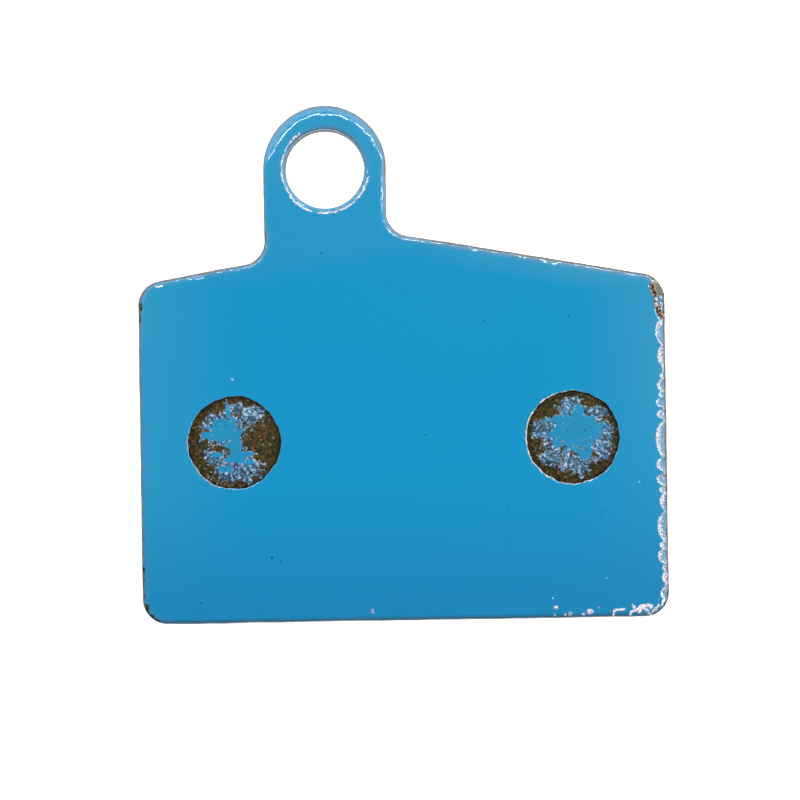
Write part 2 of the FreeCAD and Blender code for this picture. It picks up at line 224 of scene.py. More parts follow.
class PlateLooks(PropertyGroup):
    """Sizes and colours of the coated plate."""

    side_height: length("Side height", "Bottom edge to the sharp shoulder corner", 19.35)
    shoulder_angle: angle("Shoulder angle", "Fall of both shoulders towards the sides", 10)
    corner_radius: length("Corner radius", "Rounding of the four outer corners", 1.4)
    neck_radius: length("Neck radius", "Rounding of the inside corners below the tab", 1.3)
    tab_radius: length("Tab radius", "Rounding of the tab's end", 3.5)
    key_across: length("Key place", "Centre line to the middle of a keying hole", 9.65)
    key_radius: length("Key radius", "Radius of a keying hole", 2.65)
    edge_lip: length("Edge lip", "Tight rounding where the roll meets the side walls", 0.14)
    hole_roll: length("Hole roll", "Width of the rolled mouth of the pin hole", 0.42)
    key_roll: length("Key roll", "Width of the rolled mouths of the keying holes", 0.18)
    key_lip: length("Key lip", "Tight rounding of the keying holes", 0.05)
    front_break: length("Front break", "Rounding of the edges of the front face", 0.12)
    step: length("Mesh step", "Spacing of the mesh along the edges", 0.06)
    blue: colour("Blue", "The coat in the middle of the plate", 24, 150, 201)
    # The pale blue is a painted reflection of the soft light on the coat.
    reflected_blue: colour("Pale blue", "The coat towards the right and the shoulders", 60, 156, 200)
    low_blue: colour("Low blue", "The coat towards the bottom edge", 31, 136, 188)
    speck: colour("Speck", "Dust under the coat", 12, 84, 126)
    # Pale nicks in the coat, with painted glints on the tiny domes.
    nick_and_glint: colour("Nick", "Pale nicks in the coat", 112, 188, 222)
    edge: colour("Edge", "Dusty steel of the side walls", 78, 74, 74)
    soot: colour("Soot", "Grime in the deepest pits of the edges", 20, 24, 14)
    moss: colour("Moss", "Grime over steel where the coat is thin", 74, 92, 74)
    pitted: colour("Pitted steel", "Pits where the coat has gone", 62, 50, 42)
    rust: colour("Rust", "Rust where the coat has gone", 128, 82, 44)
    bare: colour("Bare steel", "Steel where the coat has gone", 112, 120, 112)
    worn: colour("Worn steel", "Steel of the side walls where it is rubbed", 112, 104, 96)
    # Chalk also gives the pinkish tint of the painted glints on the right of the plate.
    chalk_and_glint: colour("Chalk", "Torn edges of the coat where it has gone", 206, 186, 162)
    # Frost is the colour of painted glints on the crazed coat, its lumps and ridges, and round the holes.
    glint_paint: colour("Frost", "Crazed coat that catches the light", 242, 235, 243)
    ash: colour("Ash", "Thin coat between the crazed grains", 142, 142, 152)
    # Painted shade on the outermost roll of the lowest edge, the left edge and the tab's top.
    painted_shade: colour("Dusk", "Grime along the lowest edge", 46, 82, 102)
    veil: colour("Veil", "Dust along the outline", 146, 146, 154)


class FrictionLooks(PropertyGroup):
    """Sizes and colours of the friction compound."""

    margin: length("Margin", "Bare rim of the plate round the block", 1.2)
    corner_radius: length("Corner radius", "Rounding of the block's corners", 2.0)
    peak_radius: length("Peak radius", "Rounding of the block's top", 6.0)
    draft: length("Draft", "How far the sides lean in towards the rubbing face", 0.14)
    rubbing_edge: length("Rubbing edge", "Broken edge round the rubbing face", 0.25)
    plug_gap: length("Plug gap", "Shrinkage between a plug and its hole", 0.03)
    plug_rim: length("Plug rim", "Width of the sloping rim of a plug", 0.7)
    rim_drop: length("Rim drop", "Fall of that rim", 0.2)
    grain: length("Grain", "Size of the compound's grains", 0.2)
    brown: colour("Brown", "Main colour of the compound", 88, 64, 27)
    dark: colour("Dark", "Pits of the compound", 30, 28, 12)
    olive: colour("Olive", "Mineral grains", 56, 57, 18)
    tan: colour("Tan", "Light grains", 112, 100, 74)
    brass: colour("Brass", "Metal specks", 156, 132, 84)
    film: colour("Film", "Coat that has reached the plugs", 40, 142, 188)
    shade: colour("Shade", "Hollows of the torn film", 46, 58, 72)
    deep: colour("Deep", "Thin coat in the torn film", 50, 104, 138)
    haze: colour("Haze", "Torn coat", 108, 156, 190)
    # Glint is a painted glint on the frayed edges and the palest flakes of the torn coat.
    glint: colour("Glint", "Frayed edges of the torn coat", 200, 206, 226)


class StageLooks(PropertyGroup):
    """The camera and the light."""

    pixels: IntProperty(name="Picture width", description="Width of the picture in pixels", default=800)
    pixel: length("Pixel", "Size of one pixel on the back face", 1 / 17.57)
    origin_right: FloatProperty(
        name="Origin right", description="Pixels right of the picture's middle to the origin", default=3.5,
    )
    origin_down: FloatProperty(
        name="Origin down", description="Pixels down from the picture's middle to the origin", default=39.7,
    )
    distance: length("Camera distance", "Camera above the back face", 200)
    roll: angle("Roll", "How far the pad is turned in the picture", 0.94)
    sky: FloatProperty(name="Sky", description="Strength of the soft light all round", default=1.35)
    strip: FloatProperty(name="Strips", description="Brightness of the two strip lights", default=19.0)


class Recipe:
    """Builds a material's or the sky's nodes step by step. A value is a number, a colour or a step."""

    def __init__(self, block, shader="Principled BSDF", coordinates="Object"):
        self.block = block
        block.use_nodes = True
        self.tree = block.node_tree
        self.shader = self.tree.nodes[shader]
        self.place = self.node("ShaderNodeTexCoord").outputs[coordinates]

    def node(self, kind, **settings):
        made = self.tree.nodes.new(kind)
        for name, value in settings.items():
            setattr(made, name, value)
        return made

    def put(self, socket, value):
        """Links a step to a socket, or sets the socket's own value."""
        if isinstance(value, bpy.types.NodeSocket):
            self.tree.links.new(value, socket)
        elif socket.type == "RGBA" and len(value) == 3:
            socket.default_value = (*value, 1.0)
        else:
            socket.default_value = value

    def surface(self, **values):
        """Sets the shader's sockets, named with underscores for spaces."""
        for name, value in values.items():
            self.put(self.shader.inputs[name.replace("_", " ")], value)

    def attribute(self, name):
        return self.node("ShaderNodeAttribute", attribute_name=name).outputs["Fac"]

    def axes(self):
        return self.split(self.place)

    def split(self, vector):
        made = self.node("ShaderNodeSeparateXYZ")
        self.put(made.inputs[0], vector)
        return made.outputs[:3]

    def chain(self, operation, result, *others):
        """Takes the first value through an operation with each of the others in turn."""
        for other in others:
            made = self.node("ShaderNodeMath", operation=operation)
            self.put(made.inputs[0], result)
            self.put(made.inputs[1], other)
            result = made.outputs[0]
        return result

    def plus(self, *values):
        return self.chain("ADD", *values)

    def minus(self, *values):
        return self.chain("SUBTRACT", *values)

    def times(self, *values):
        return self.chain("MULTIPLY", *values)

    def most(self, *values):
        return self.chain("MAXIMUM", *values)

    def unsigned(self, value):
        return self.chain("ABSOLUTE", value, 0.0)

    def span(self, value, low, high, start=0.0, end=1.0):
        """Runs smoothly from start to end while the value goes from low to high."""
        made = self.node("ShaderNodeMapRange", interpolation_type="SMOOTHSTEP")
        for socket, item in zip(made.inputs, (value, low, high, start, end)):
            self.put(socket, item)
        return made.outputs[0]

    def mix(self, share, first, second):
        made = self.node("ShaderNodeMix", data_type="RGBA")
        self.put(made.inputs[0], share)
        self.put(made.inputs[6], first)
        self.put(made.inputs[7], second)
        return made.outputs[2]

    def blend(self, share, first, second):
        made = self.node("ShaderNodeMix", data_type="FLOAT")
        self.put(made.inputs[0], share)
        self.put(made.inputs[2], first)
        self.put(made.inputs[3], second)
        return made.outputs[0]

    def upright(self, share):
        """The place with its height shortened, which draws a pattern out into upright streaks."""
        made = self.node("ShaderNodeMapping")
        self.put(made.inputs["Vector"], self.place)
        self.put(made.inputs["Scale"], (1.0, 1.0, share))
        return made.outputs[0]

    def noise(self, size, detail=2.0, roughness=0.5, place=None):
        """Soft noise of 0 to 1 whose patches are about this size."""
        made = self.node("ShaderNodeTexNoise")
        self.put(made.inputs["Vector"], place or self.place)
        self.put(made.inputs["Scale"], 1 / size)
        self.put(made.inputs["Detail"], detail)
        self.put(made.inputs["Roughness"], roughness)
        return made.outputs["Fac"]

    def cells(self, size):
        """Grains of about this size: the distance from a grain's middle, and each grain's own number."""
        made = self.node("ShaderNodeTexVoronoi")
        self.put(made.inputs["Vector"], self.place)
        self.put(made.inputs["Scale"], 1 / size)
        return made.outputs["Distance"], self.split(made.outputs["Color"])[0]

    def ramp(self, value, *stops):
        """A colour for each value, from stops of place and colour."""
        made = self.node("ShaderNodeValToRGB")
        self.put(made.inputs[0], value)
        steps = made.color_ramp.elements
        while len(steps) < len(stops):
            steps.new(1.0)
        for step, (place, tint) in zip(steps, stops):
            step.position = place
            step.color = (*tint, 1.0)
        return made.outputs[0]

    def bump(self, height, distance, strength=1.0):
        made = self.node("ShaderNodeBump")
        self.put(made.inputs["Strength"], strength)
        self.put(made.inputs["Distance"], distance)
        self.put(made.inputs["Height"], height)
        return made.outputs["Normal"]


def smooth(low, high, value):
    """Runs from 0 to 1 while the value goes from low to high, level at both ends."""
    share = min(max((value - low) / (high - low), 0.0), 1.0)
    return share * share * (3 - 2 * share)


def shares(count):
    """The even shares of a whole, from the first to 1."""
    return [step / count for step in range(1, count + 1)]


def below(depth):
    """The height at a depth in millimetres below the plate's back."""
    return PLATE_HIGH.z - depth * MM


def cover(x, y, patches):
    """How deep a place lies inside the nearest of some oval patches: 1 in a middle and 0 on a border."""
    return max(1 - math.hypot((x - px) / rx, (y - py) / ry) for px, py, rx, ry in patches)


def finish_piece(bm, name, node, material):
    """Turns a closed bmesh into a piece that stands for a node of the frame."""
    for face in bm.faces:
        face.smooth = True
    mesh = bpy.data.meshes.new(name)
    bm.to_mesh(mesh)
    bm.free()
    mesh.materials.append(material)
    piece = bpy.data.objects.new(name, mesh)
    bpy.context.scene.collection.objects.link(piece)
    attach(piece, BODY)
    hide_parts(node)


def add_outline(bm, corners, height, step):
    """A face with rounded corners. Each corner has its place and how far from it the rounding starts."""
    verts = [bm.verts.new((x, y, height)) for x, y, _ in corners]
    bm.faces.new(verts)
    for vert, (_, _, start) in zip(verts, corners):
        bmesh.ops.bevel(
            bm, geom=[vert], offset=start, offset_type="OFFSET", affect="VERTICES",
            segments=max(4, round(1.6 * start / step)), profile=0.5, material=-1,
        )
    bmesh.ops.remove_doubles(bm, verts=bm.verts[:], dist=step / 100)
    for edge in bm.edges[:]:
        parts = round(edge.calc_length() / step)
        if parts > 1:
            bmesh.ops.subdivide_edges(bm, edges=[edge], cuts=parts - 1)
    return bm.faces[:][0]


def join(bm, part):
    """Adds the mesh of a part to another, and frees the part."""
    mesh = bpy.data.meshes.new("part")
    part.to_mesh(mesh)
    part.free()
    bm.from_mesh(mesh)
    bpy.data.meshes.remove(mesh)


def open_edges(bm, above):
    """Edges that still lack a face, on one side of the plate's middle height."""
    middle = (PLATE_LOW.z + PLATE_HIGH.z) / 2
    return [e for e in bm.edges if e.is_boundary and (e.verts[0].co.z > middle) == above]


def spin_profile(bm, centre, profile, steps):
    """Turns a line of radius and height pairs once round a centre."""
    line = [bm.verts.new((centre.x + radius, centre.y, height)) for radius, height in profile]
    edges = [bm.edges.new(pair) for pair in zip(line, line[1:])]
    bmesh.ops.spin(
        bm, geom=line + edges, cent=(centre.x, centre.y, 0), axis=(0, 0, 1), dvec=(0, 0, 0),
        angle=2 * math.pi, steps=steps, use_merge=True, use_normal_flip=False, use_duplicate=False,
    )


def roll_drop(distance, width, slope, bend, lip):
    """Fall of a rolled edge at a distance in from the outline: a slow bend, then a tight lip."""
    slow = max(0.0, width - distance)
    tight = max(0.0, 1 - distance / lip)
    return slope * slow + bend * slow * slow / 2 + lip * (1 - math.sqrt(1 - tight * tight))


def plate_corners(looks):
    """The plate's sharp corners, anticlockwise from the lower left, each with where its rounding starts."""
    half, low = PLATE_HIGH.x, PLATE_LOW.y
    shoulder = low + looks.side_height
    fall = math.tan(looks.shoulder_angle)
    tab = looks.tab_radius
    left, right = PIN.x - tab, PIN.x + tab
    slant = math.tan(math.radians(45) - looks.shoulder_angle / 2)
    corner, neck = looks.corner_radius, looks.neck_radius
    return (
        (-half, low, corner), (half, low, corner), (half, shoulder, corner * slant),
        (right, shoulder + (half - right) * fall, neck * slant), (right, PLATE_HIGH.y, tab),
        (left, PLATE_HIGH.y, tab), (left, shoulder + (half + left) * fall, neck * slant),
        (-half, shoulder, corner * slant),
    )


def waver(x, y):
    """How unevenly the coat has run along an edge at a place in millimetres, about 0."""
    spot = Vector((x, y, 2))
    return 0.9 * noise.noise(spot * 1.4) + 0.6 * noise.noise(spot * 3.6)


def edge_roll(x, y):
    """Width, first slope and bend of the rolled edge at a place in millimetres, scalloped at the right."""
    # How far the place is on the tab's top, the tab's right side, a shoulder and the top's left.
    top = smooth(15.6, 17.2, y)
    side = smooth(11.2, 12.2, y) * smooth(-4.5, -2.5, x)
    shoulder = smooth(6.8, 7.4, y) * (1 - smooth(10.9, 11.7, y))
    left = smooth(-5.0, -7.0, x) * top
    width = 0.28 + max(0.31 * top + 0.08 * left, 0.15 * side)
    width *= 1 + (0.3 - 0.2 * top) * waver(x, y)
    width += (0.26 + 0.4 * max(0.0, noise.noise(Vector((x, y, 6)) * 1.4)) - width) * shoulder
    slope, bend = 0.0, 0.8 - 0.13 * top + 0.33 * left + 0.15 * max(shoulder, side * (1 - top))
    right = smooth(14.0, 14.2, x) * smooth(-9.7, -9.4, y) * (1 - smooth(6.4, 6.8, y))
    if right > 0:
        bite = 0.08
        for middle, half, reach in RIGHT_SCALLOPS:
            bite = max(bite, reach * math.sqrt(max(0.0, 1 - ((y - middle) / half) ** 2)))
        width += (0.2 + bite - width) * right
        slope = RIGHT_SLOPE * right
        bend += (0.3 - bend) * right
    return min(width, 0.7), slope, bend


def off_line(x, y, start, end):
    """Distance from a place to the line between two points."""
    run_x, run_y = end[0] - start[0], end[1] - start[1]
    share = ((x - start[0]) * run_x + (y - start[1]) * run_y) / (run_x * run_x + run_y * run_y)
    share = min(max(share, 0.0), 1.0)
    return math.hypot(x - start[0] - share * run_x, y - start[1] - share * run_y)


def near_ridge(x, y):
    """How strongly a place lies on a ridge of the coat, from 0 to 1, and how pale the painted glint along
    that ridge is.
    """
    best, pale = 0.0, 0.0
    for tone, *line in RIDGES:
        near = min(off_line(x, y, *pair) for pair in zip(line, line[1:]))
        share = math.exp(-((near / RIDGE_WIDTH) ** 2))
        best, pale = max(best, share), max(pale, tone * share)
    return best, pale


def coat_relief(x, y, gap):
    """Height of the coat near an edge, in millimetres, at a gap from that edge, and how pale its painted
    glints are.
    """
    spot = Vector((x, y, 0))
    relief = 0.006 * noise.noise(spot * 0.9) + 0.0034 * noise.noise(spot * 3.3)
    relief += 0.0022 * noise.noise(spot * 5.6)
    relief *= 1 - 0.65 * smooth(11.5, 13.0, y)
    pale = 0.0
    for place_x, place_y, across, up, height in ROUGH_SPOTS:
        share = 1 - math.hypot((x - place_x) / across, (y - place_y) / up)
        if share > 0:
            relief += height * smooth(0.0, 0.5, share) * noise.noise(spot * 5.7)
    if y < -9.2:
        ridge, pale = near_ridge(x, y)
        relief += 0.018 * ridge
    for place_x, place_y, radius, tone in PALE_LUMPS:
        share = math.hypot(x - place_x, y - place_y) / radius
        if share < 2:
            dome = math.exp(-share * share)
            relief += 0.16 * radius * dome
            pale = max(pale, tone * dome)
    for middle_x, middle_y, reach, out, first, last, tone in PALE_ARCS:
        off_x, off_y = x - middle_x, y - middle_y
        turn = math.degrees(math.atan2(off_y, off_x)) % 360
        if math.hypot(off_x, off_y) < reach and first < turn < last:
            near = (gap - HOLE_COVER - out) / GLINT_WIDTH
            beads = smooth(-0.4, 0.1, noise.noise(spot * 4.2))
            pale = max(pale, tone * beads * math.exp(-near * near))
    # Inside the scallops of the right edge, a band of painted glints.
    if x > 14:
        width, slope, _ = edge_roll(x, y)
        inside = width - gap
        band = smooth(0.0, 0.05, inside) * (1 - 0.6 * smooth(0.18, 0.4, inside))
        pale = max(pale, slope / RIGHT_SLOPE * band * (0.37 + 0.42 * noise.noise(spot * 0.8)))
    return relief, pale


def wall_relief(spot):
    """How deep a side wall lies below its even face, in millimetres: smooth at the back, then torn."""
    torn = smooth(0.12, -0.12, spot.z - PLATE_HIGH.z / MM + 0.8 + 0.25 * noise.noise(spot * 0.6))
    ribs = Vector((spot.x * 5.0, spot.y * 5.0, spot.z * 0.5))
    pits = abs(noise.fractal(spot * 2.2, 0.9, 2.0, 3))
    return 0.012 * (0.5 + 0.5 * noise.noise(ribs)) + torn * (0.014 + 0.05 * pits)


def bare_share(x, y):
    """How far the coat has gone at a place, from 0 to 1, in millimetres."""
    worn = cover(x, y, BARE_SPOTS)
    if worn < -0.6:
        return 0.0
    return smooth(-0.3, 0.3, worn + 0.3 * noise.fractal(Vector((x, y, 4)) * 3.1, 1.0, 2.0, 3))


class BRAKEPAD_OT_add_plate(Operator):
    """Add the stamped backing plate with its rolled edges, holes and worn blue coat"""

    bl_idname = "brakepad.add_plate"
    bl_label = "Backing plate"

    def execute(self, context):
        looks = context.scene.brakepad_plate
        bm = self.new_part()
        self.add_slab(bm, looks)
        key = Vector((looks.key_across, 0))
        self.add_hole(bm, looks, PIN, PIN_RADIUS)
        self.add_hole(bm, looks, key, looks.key_radius, keying=True)
        self.add_hole(bm, looks, -key, looks.key_radius, keying=True)
        self.add_blemishes(bm)
        for above in (True, False):
            bmesh.ops.triangle_fill(
                bm, use_beauty=True, edges=open_edges(bm, above), normal=(0, 0, 1 if above else -1)
            )
        bmesh.ops.recalc_face_normals(bm, faces=bm.faces[:])
        self.weather(bm, looks)
        finish_piece(bm, "coated_plate", "backing_plate", coat_material(looks))
        return {"FINISHED"}

    def new_part(self):
        """A mesh whose vertices can note their distance from an edge and the state of the coat."""
        bm = bmesh.new()
        for name in PLATE_LAYERS:
            setattr(self, name, bm.verts.layers.float.new(name))
        return bm

    def note(self, vert, distance, reach):
        """Notes a distance from an edge on a vertex, with the coat quite calm from reach inwards."""
        vert[self.rim] = distance
        vert[self.calm] = smooth(0.45, 0.98, distance / reach)

    def add_rings(self, bm, face, distances):
        """Insets a face to each distance from its first edge."""
        reached = 0.0
        for distance in distances:
            bmesh.ops.inset_region(bm, faces=[face], thickness=distance - reached, use_even_offset=True)
            reached = distance
            for vert in face.verts:
                self.note(vert, distance, distances[-1])
        # No three in a line, so that the fill has no empty triangles.
        nudge = 0.008 * MM
        for vert in face.verts:
            spot = vert.co * 9 / MM
            vert.co.x += nudge * noise.noise(spot)
            vert.co.y += nudge * noise.noise(spot + Vector((0, 0, 5)))

    def add_slab(self, bm, looks):
        """The stamped blank, with rings of mesh round both of its faces."""
        front = add_outline(bm, plate_corners(looks), PLATE_LOW.z, looks.step)
        made = bmesh.ops.extrude_face_region(bm, geom=[front])["geom"]
        back = next(item for item in made if isinstance(item, bmesh.types.BMFace))
        bmesh.ops.translate(bm, verts=back.verts[:], vec=(0, 0, PLATE_HIGH.z - PLATE_LOW.z))
        walls = [e for e in bm.edges if e.verts[0].co.z != e.verts[1].co.z]
        self.add_rings(bm, front, [looks.front_break * share for share in (0.15, 0.5, 1.0)])
        self.add_rings(bm, back, [distance * MM for distance in EDGE_RINGS])
        bmesh.ops.delete(bm, geom=[front, back], context="FACES_ONLY")

        middle = (PLATE_LOW.z + PLATE_HIGH.z) / 2
        for vert in bm.verts:
            if vert.co.z < middle:
                vert.co.z += roll_drop(vert[self.rim], 0.0, 0.0, 0.0, looks.front_break)
                # The fill inside the last ring takes its values from it, and lies far from any edge.
                if vert[self.calm] == 1:
                    vert[self.rim] = FAR
            else:
                width, slope, bend = edge_roll(vert.co.x / MM, vert.co.y / MM)
                vert.co.z -= roll_drop(vert[self.rim], width * MM, slope, bend / MM, looks.edge_lip)
        bmesh.ops.subdivide_edges(bm, edges=walls, cuts=WALL_ROWS - 1, use_grid_fill=True)

    def add_hole(self, bm, looks, centre, radius, keying=False):
        """A hole with an uneven rolled mouth in fine mesh. A keying hole's is flatter and ragged."""
        roll, lip, bend, band = looks.hole_roll, looks.edge_lip, 0.9, 0.02 * MM
        if keying:
            roll, lip, bend, band = looks.key_roll, looks.key_lip, 0.2, 0.4 * MM
        reach = roll + band
        rings = [distance * MM for distance in EDGE_RINGS[::-1] if distance * MM < roll] + [0.0]
        profile = [(radius + roll + band * share, PLATE_HIGH.z) for share in (1.0, 0.75, 0.5, 0.25, 0.0)]
        profile += [(radius + distance, PLATE_HIGH.z) for distance in rings]
        deep = PLATE_HIGH.z - PLATE_LOW.z
        profile += [(radius, PLATE_HIGH.z - deep * share) for share in shares(WALL_ROWS)]
        part = self.new_part()
        spin_profile(part, centre, profile, round(2 * math.pi * radius / looks.step))
        for vert in part.verts:
            out = vert.co.xy - centre
            distance = max(0.0, out.length - radius)
            self.note(vert, distance, reach)
            vert[self.rim] += HOLE_COVER * MM
            spot = vert.co / MM
            if vert.co.z > below(0.01):
                width = max(lip, roll * min(1.0, 0.9 + 0.24 * waver(spot.x * 1.9, spot.y * 1.9)))
                vert.co.z -= roll_drop(distance, width, 0.0, bend / MM, lip)
                if keying:
                    ragged = 0.07 * noise.noise(spot * 1.1) + 0.05 * noise.noise(spot * 3.1) - 0.03
                    out *= ragged * MM * (1 - smooth(0.05, 0.3, distance / MM)) / out.length
                    vert.co.x += out.x
                    vert.co.y += out.y
        join(bm, part)

    def add_blemishes(self, bm):
        """Tiny pits over dust and tiny pale domes in the flat of the coat."""
        part = self.new_part()
        for blemishes, rise, tone in ((DARK_SPECKS, -0.02, 1.0), (PALE_SPECKS, 0.3, -1.0)):
            for x, y, radius in blemishes:
                place = Matrix.Translation((x * MM, y * MM, PLATE_HIGH.z))
                size = radius * MM
                disc = bmesh.ops.create_circle(
                    part, cap_ends=True, segments=16, radius=1.3 * size, matrix=place
                )
                face = disc["verts"][0].link_faces[0]
                reached, raised = 1.3, 0.0
                for share in (1.0, 0.85, 0.65, 0.4, 0.15):
                    level = rise * size * math.cos(math.radians(90) * share) ** 2
                    bmesh.ops.inset_region(
                        part, faces=[face], thickness=size * (reached - share), use_boundary=True
                    )
                    bmesh.ops.translate(part, verts=face.verts[:], vec=(0, 0, level - raised))
                    reached, raised = share, level
                    for vert in face.verts:
                        vert[self.speck] = tone * min(1.0, 2 * (1 - share))
        for vert in part.verts:
            self.note(vert, FAR, MM)
        join(bm, part)

    def weather(self, bm, looks):
        """Lumps, painted glints and wear of the coat, and the torn steel of the side walls."""
        rim, calm, bare, _, glint_paint = (bm.verts.layers.float[name] for name in PLATE_LAYERS)
        bm.normal_update()
        moves = []
        for vert in bm.verts:
            spot, gap = vert.co / MM, vert[rim] / MM
            relief = 0.0
            if gap < 1:
                relief, pale = coat_relief(spot.x, spot.y, gap)
                inside = 1 - smooth(0.9, 0.99, vert[calm])
                inside *= smooth(-0.4, -0.15, spot.z - PLATE_HIGH.z / MM)
                vert[bare] = bare_share(spot.x, spot.y) * inside
                vert[glint_paint] = pale * inside
                key = math.hypot(abs(spot.x) - looks.key_across / MM, spot.y)
                near = (1 - smooth(0.04, 0.26, gap)) * smooth(3.2, 3.6, key)
                lumps = noise.noise(spot * Vector((1.1, 1.1, 0.2)))
                swell = noise.noise(spot * Vector((0.33, 0.33, 0.1)))
                relief += near * (0.014 * lumps + 0.03 * swell) - 0.014 * vert[bare]
                if abs(vert.normal.z) < WALL_TILT:
                    relief -= wall_relief(spot)
            moves.append(relief * (1 - vert[calm]) * MM * vert.normal)
        for vert, move in zip(bm.verts, moves):
            vert.co += move


def blue_coat(recipe, looks, clouds):
    """The coat's blue: deep in the middle, paler at the sides and towards the tab with a painted reflection
    of the soft light, and darker below.
    """
    x, y, _ = recipe.axes()
    slant = recipe.plus(y, recipe.times(recipe.unsigned(x), math.tan(looks.shoulder_angle)))
    # Painted reflection of the soft light: the coat is paler towards the right, the left, the tab and the
    # shoulders.
    pale = recipe.most(
        recipe.times(recipe.span(x, 9 * MM, 17 * MM), recipe.span(y, -4 * MM, 9 * MM, 0.4, 1.2)),
        recipe.span(x, -8 * MM, -16 * MM, 0.0, 0.6),
        recipe.span(y, 11.5 * MM, 16 * MM, 0.0, 0.6),
        recipe.times(recipe.span(slant, 9.9 * MM, 11.5 * MM), recipe.span(x, -2 * MM, 12 * MM, 0.3, 1.0)),
    )
    pale = recipe.times(pale, recipe.span(clouds, 0.2, 0.8, 0.8, 1.1))
    blue = recipe.mix(pale, looks.blue, looks.reflected_blue)
    blue = recipe.mix(recipe.span(y, -1 * MM, -11 * MM), blue, looks.low_blue)
    speck = recipe.attribute("speck")
    blue = recipe.mix(recipe.span(speck, 0.0, 1.0), blue, looks.speck)
    # Pale nicks, and painted glints on the tiny pale domes.
    return recipe.mix(recipe.span(speck, 0.0, -1.0), blue, looks.nick_and_glint)


def edge_dust_and_shade(recipe, looks, rim, blue):
    """The blue with pale dust along its edges, and painted shade along the bottom, at the left and on the
    tab's top.
    """
    x, y, _ = recipe.axes()
    dust = recipe.most(
        recipe.span(x, -13 * MM, -14 * MM, 0.0, 0.25),
        recipe.span(x, 13 * MM, 14 * MM, 0.0, 0.5),
        recipe.times(recipe.span(y, 5.5 * MM, 7 * MM), recipe.span(x, -8 * MM, -1 * MM, 0.6, 1.0)),
    )
    dust = recipe.minus(dust, recipe.span(y, 11.5 * MM, 13 * MM, 0.0, 0.5))
    dust = recipe.times(dust, recipe.span(rim, 0.45 * MM, 0.08 * MM, 0.0, 0.5))
    # Painted shade darkens the outermost roll along the bottom, at the left and on the tab's top.
    painted_shade = recipe.most(
        recipe.span(y, -9.3 * MM, -10.1 * MM, 0.0, 0.85),
        recipe.span(x, -14.2 * MM, -14.8 * MM, 0.0, 0.35),
        recipe.span(y, 15 * MM, 17 * MM, 0.0, 0.35),
    )
    painted_shade = recipe.times(painted_shade, recipe.span(rim, 0.34 * MM, 0.04 * MM))
    return recipe.mix(painted_shade, recipe.mix(dust, blue, looks.veil), looks.painted_shade)


def crazed_coat_glints(recipe, looks, grain, glint_paint):
    """Where the coat has run together: the share that is crazed, and its colour, from grey thin coat to
    painted glints.
    """
    x, _, _ = recipe.axes()
    glint_tint = recipe.plus(glint_paint, recipe.span(grain, 0.3, 0.7, -0.35, 0.35))
    share = recipe.times(recipe.span(glint_tint, 0.16, 0.42), recipe.span(glint_paint, 0.02, 0.2))
    flecks = recipe.span(recipe.noise(0.16 * MM, detail=1.0), 0.5, 0.68, 0.0, 0.7)
    flecks = recipe.times(flecks, recipe.span(x, 4 * MM, 6 * MM))
    grains = recipe.mix(flecks, looks.glint_paint, looks.chalk_and_glint)
    return share, recipe.mix(recipe.span(glint_tint, 0.4, 0.72), looks.ash, grains)


def wall_share(recipe, rim, blotches):
    """1 on the bare side walls and 0 on the coat, which ends a little way in from the outline."""
    x, y, _ = recipe.axes()
    reach = recipe.plus(
        recipe.span(y, 5.5 * MM, 9 * MM, 0.07 * MM, 0.11 * MM),
        recipe.span(x, 13.5 * MM, 14.6 * MM, 0.0, 0.05 * MM),
        recipe.span(y, -9.6 * MM, -10.1 * MM, 0.0, -0.035 * MM),
        recipe.span(y, 11 * MM, 12.5 * MM, 0.0, -0.04 * MM),
        recipe.span(blotches, 0.3, 0.7, -0.02 * MM, 0.03 * MM),
    )
    return recipe.span(recipe.minus(rim, reach), 0.02 * MM, -0.02 * MM)


def wall_steel(recipe, looks, streaks, blotches, rubbed):
    """Bare side walls: a rubbed band next to the back, upright streaks, rust and a little blue dust."""
    _, _, z = recipe.axes()
    steel = recipe.mix(recipe.span(streaks, 0.42, 0.62), looks.pitted, looks.edge)
    bright = recipe.times(rubbed, recipe.span(streaks, 0.46, 0.6, 0.1, 0.7))
    steel = recipe.mix(bright, steel, looks.worn)
    rusty = recipe.times(
        recipe.span(blotches, 0.48, 0.75, 0.0, 0.5), recipe.span(z, below(0.12), below(0.4), 0.3, 1.0)
    )
    steel = recipe.mix(rusty, steel, looks.rust)
    dusted = recipe.times(
        recipe.span(z, below(1.1), below(0.4)), recipe.span(z, below(0.16), below(0.3)),
        recipe.span(recipe.noise(0.28 * MM, detail=3.0), 0.48, 0.58, 0.0, 0.7),
    )
    return recipe.mix(dusted, steel, looks.low_blue)


def stripped_steel(recipe, looks, spots):
    """What shows where the coat has gone: chalky, rusty steel at the upper right, else sooty grime."""
    x, y, _ = recipe.axes()
    chipped = recipe.ramp(
        spots, (0.36, looks.soot), (0.41, looks.pitted), (0.46, looks.rust), (0.5, looks.bare),
        (0.55, looks.chalk_and_glint), (0.64, looks.bare),
    )
    grey = recipe.times(recipe.span(x, 14.5 * MM, 14.66 * MM), recipe.span(y, 7.7 * MM, 8.0 * MM, 0.0, 0.8))
    chipped = recipe.mix(grey, chipped, looks.bare)
    grimy = recipe.ramp(spots, (0.4, looks.soot), (0.52, looks.moss))
    upper_right = recipe.times(recipe.span(x, -1 * MM, 1 * MM), recipe.span(y, -1 * MM, 1 * MM))
    return recipe.mix(upper_right, grimy, chipped)


